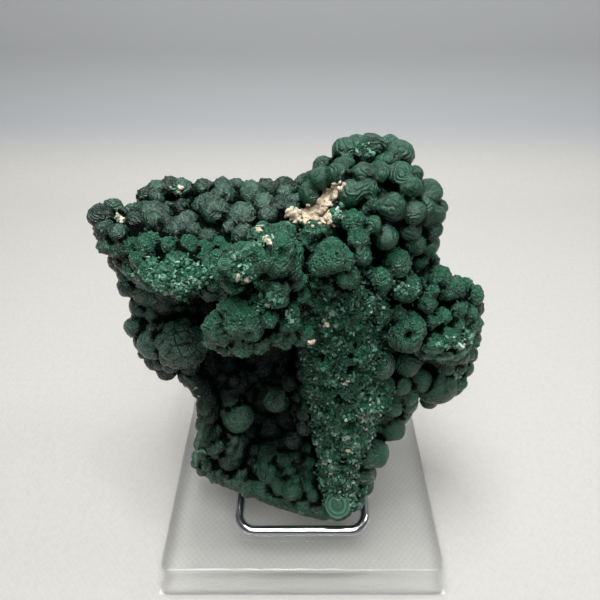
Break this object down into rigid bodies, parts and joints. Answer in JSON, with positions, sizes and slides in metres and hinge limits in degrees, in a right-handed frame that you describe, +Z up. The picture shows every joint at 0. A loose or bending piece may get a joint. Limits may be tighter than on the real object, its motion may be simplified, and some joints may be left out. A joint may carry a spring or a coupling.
{
  "type": "malachite specimen",
  "caption": "Botryoidal malachite mineral specimen that leans in a bent chrome wire easel on a square clear acrylic base block.",
  "frame": {"origin": "middle of the base block's flat underside", "axes": "+Z up from the underside, +X to the right of someone who faces the specimen, +Y away from them, towards the leaning back of the easel"},
  "size_m": [0.0784, 0.0658, 0.0903],
  "materials": {
    "clear_acrylic": "clear, polished",
    "chromed_wire": "bright plated",
    "malachite": "dark green botryoidal crust, velvety bloom with small sparkling crystals"
  },
  "bodies": {
    "root": {"base_block": "clear_acrylic", "easel": "chromed_wire", "malachite": "malachite"}
  },
  "joints": []
}
